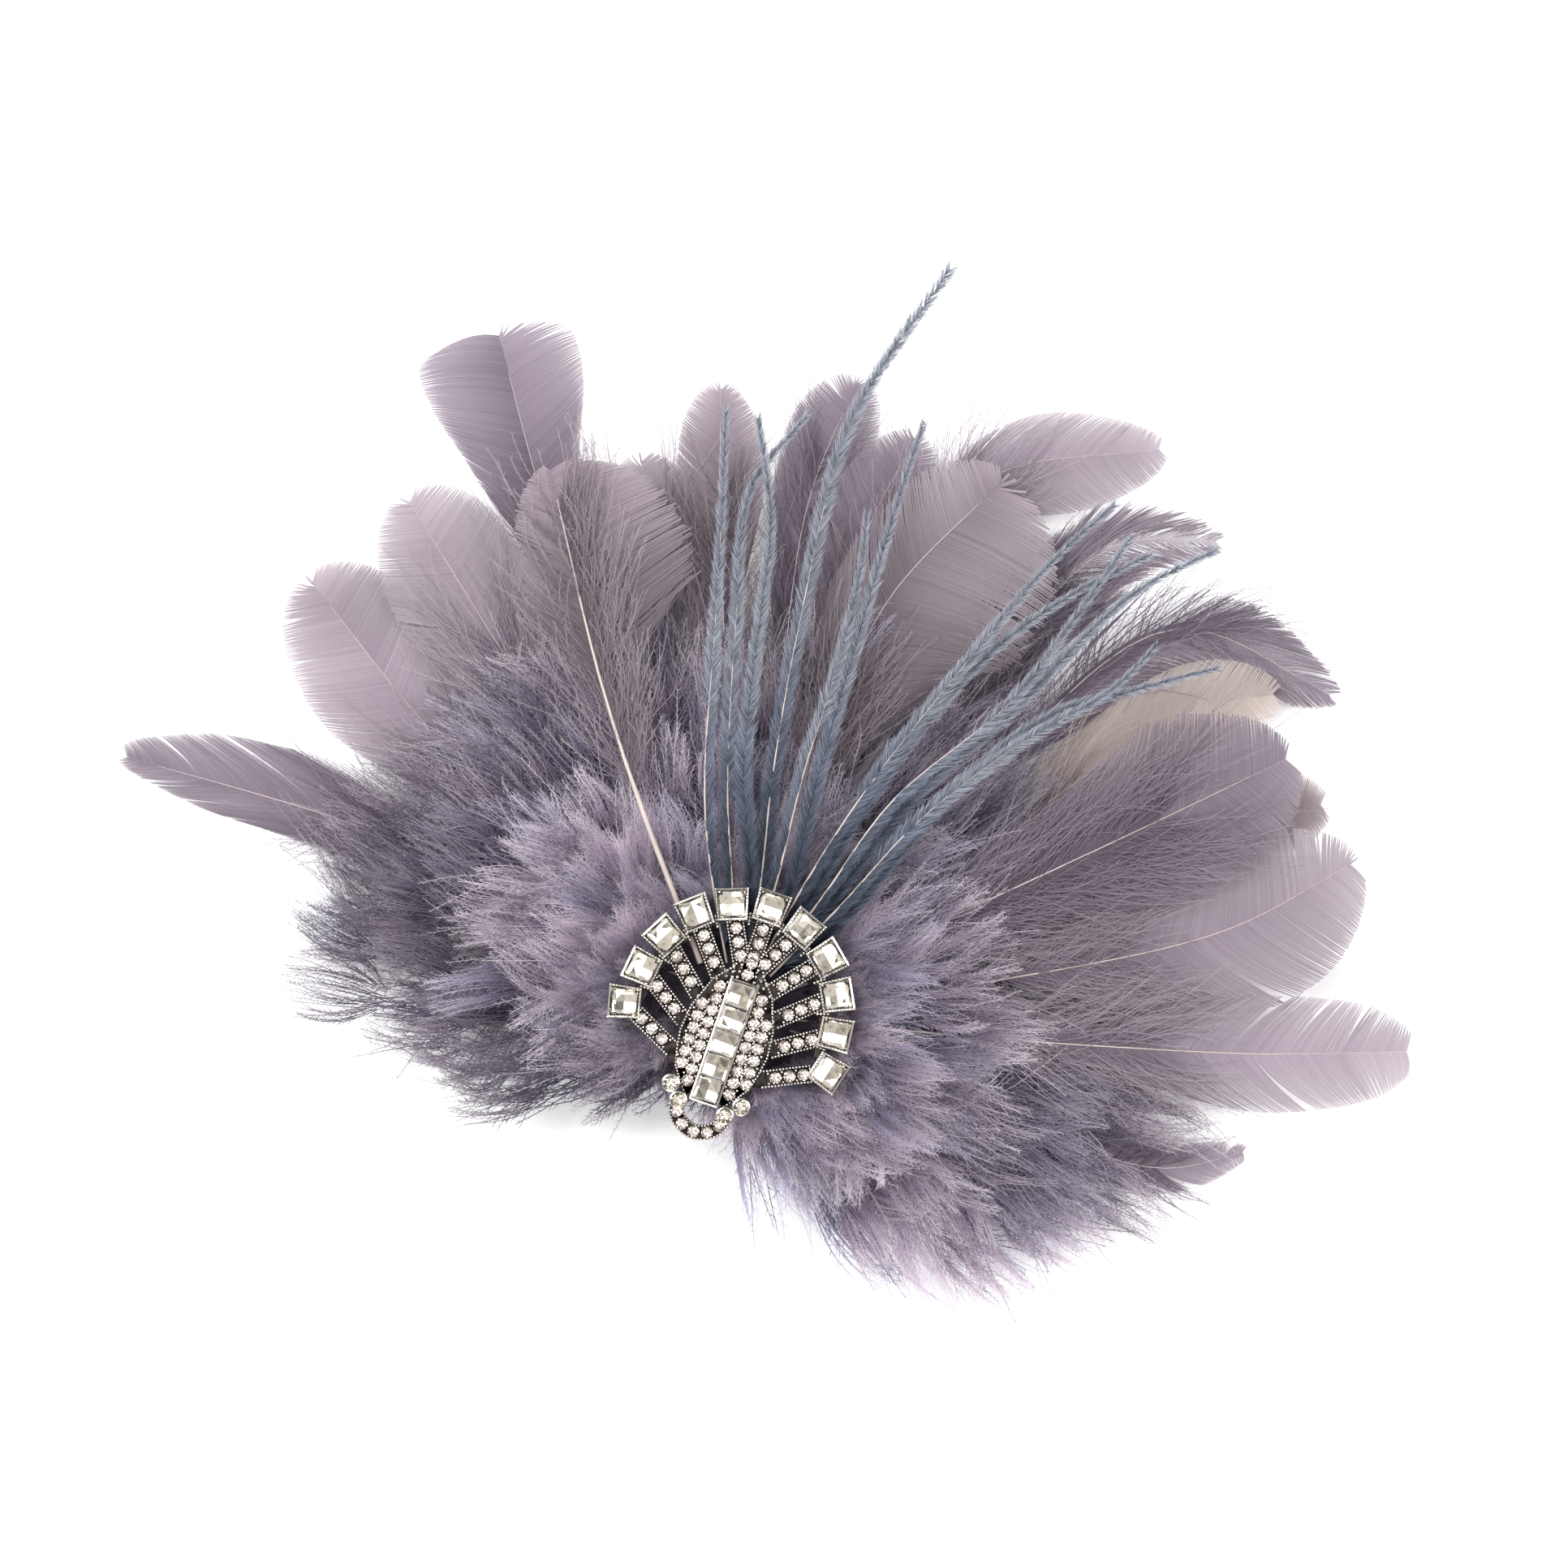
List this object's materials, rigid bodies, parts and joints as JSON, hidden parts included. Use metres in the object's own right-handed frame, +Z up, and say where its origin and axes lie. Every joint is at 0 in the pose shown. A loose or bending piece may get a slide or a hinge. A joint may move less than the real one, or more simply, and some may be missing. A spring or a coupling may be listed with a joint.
{
  "type": "feather hair clip",
  "caption": "Wide fan of dyed mauve feathers, soft down and blue-grey herls behind a pierced shell brooch set with cut stones, on a felt pad and a flat spring clip.",
  "frame": {"origin": "on the flat underside of the clip's lower plate, below the centre of the brooch's rim circle", "axes": "+Z up, away from the surface that the clip lies on, +Y from the brooch's loop to the middle of the fan, +X to the right of the fan seen from above"},
  "size_m": [0.207, 0.1527, 0.0239],
  "materials": {
    "clip_steel": "nickel-plated spring steel",
    "felt": "pressed wool felt",
    "glue": "cured hot glue, dark and glossy",
    "antique_silver": "cast zinc alloy, silver-plated, darkened in its recesses",
    "crystal": "clear foil-backed cut glass",
    "feather_mauve": "dyed goose vane, matt with a silky sheen",
    "feather_dusk": "dyed goose vane, brownish mauve",
    "feather_cream": "undyed pale vane",
    "down_mauve": "dyed marabou down",
    "herl_blue": "dyed ostrich-like herl, blue-grey"
  },
  "bodies": {
    "root": {"hair_clip": "clip_steel", "backing_pad": "felt", "glue_bed": "glue", "brooch_frame": "antique_silver", "rim_stone_01": "crystal", "rim_stone_02": "crystal", "rim_stone_03": "crystal", "rim_stone_04": "crystal", "rim_stone_05": "crystal", "rim_stone_06": "crystal", "rim_stone_07": "crystal", "rim_stone_08": "crystal", "rim_stone_09": "crystal", "rim_stone_10": "crystal", "rim_stone_11": "crystal", "bar_stone_1": "crystal", "bar_stone_2": "crystal", "bar_stone_3": "crystal", "bar_stone_4": "crystal", "bar_stone_5": "crystal", "bezel_stone_1": "crystal", "bezel_stone_2": "crystal", "bezel_stone_3": "crystal", "bezel_stone_4": "crystal", "feather_far_left": "feather_mauve", "feather_left": "feather_mauve", "feather_left_upper": "feather_mauve", "feather_curled": "feather_mauve", "feather_behind_left": "feather_mauve", "feather_spoon": "feather_dusk", "feather_top": "feather_mauve", "feather_top_right": "feather_mauve", "feather_leaning": "feather_mauve", "feather_wispy": "feather_mauve", "feather_hooked": "feather_mauve", "feather_cream": "feather_cream", "feather_behind_right": "feather_cream", "feather_lower_right": "feather_mauve", "feather_broad_top": "feather_dusk", "feather_broad_right": "feather_mauve", "feather_right": "feather_mauve", "feather_right_lower": "feather_mauve", "feather_long_quill": "feather_dusk", "herl_01": "herl_blue", "herl_02": "herl_blue", "herl_03": "herl_blue", "herl_04": "herl_blue", "herl_05": "herl_blue", "herl_06": "herl_blue", "herl_07": "herl_blue", "herl_08": "herl_blue", "herl_09": "herl_blue", "herl_10": "herl_blue", "herl_11": "herl_blue", "herl_12": "herl_blue", "down_lower_left": "down_mauve", "down_lower_right": "down_mauve", "down_upper_left": "down_mauve", "down_upper_right": "down_mauve"}
  },
  "joints": []
}
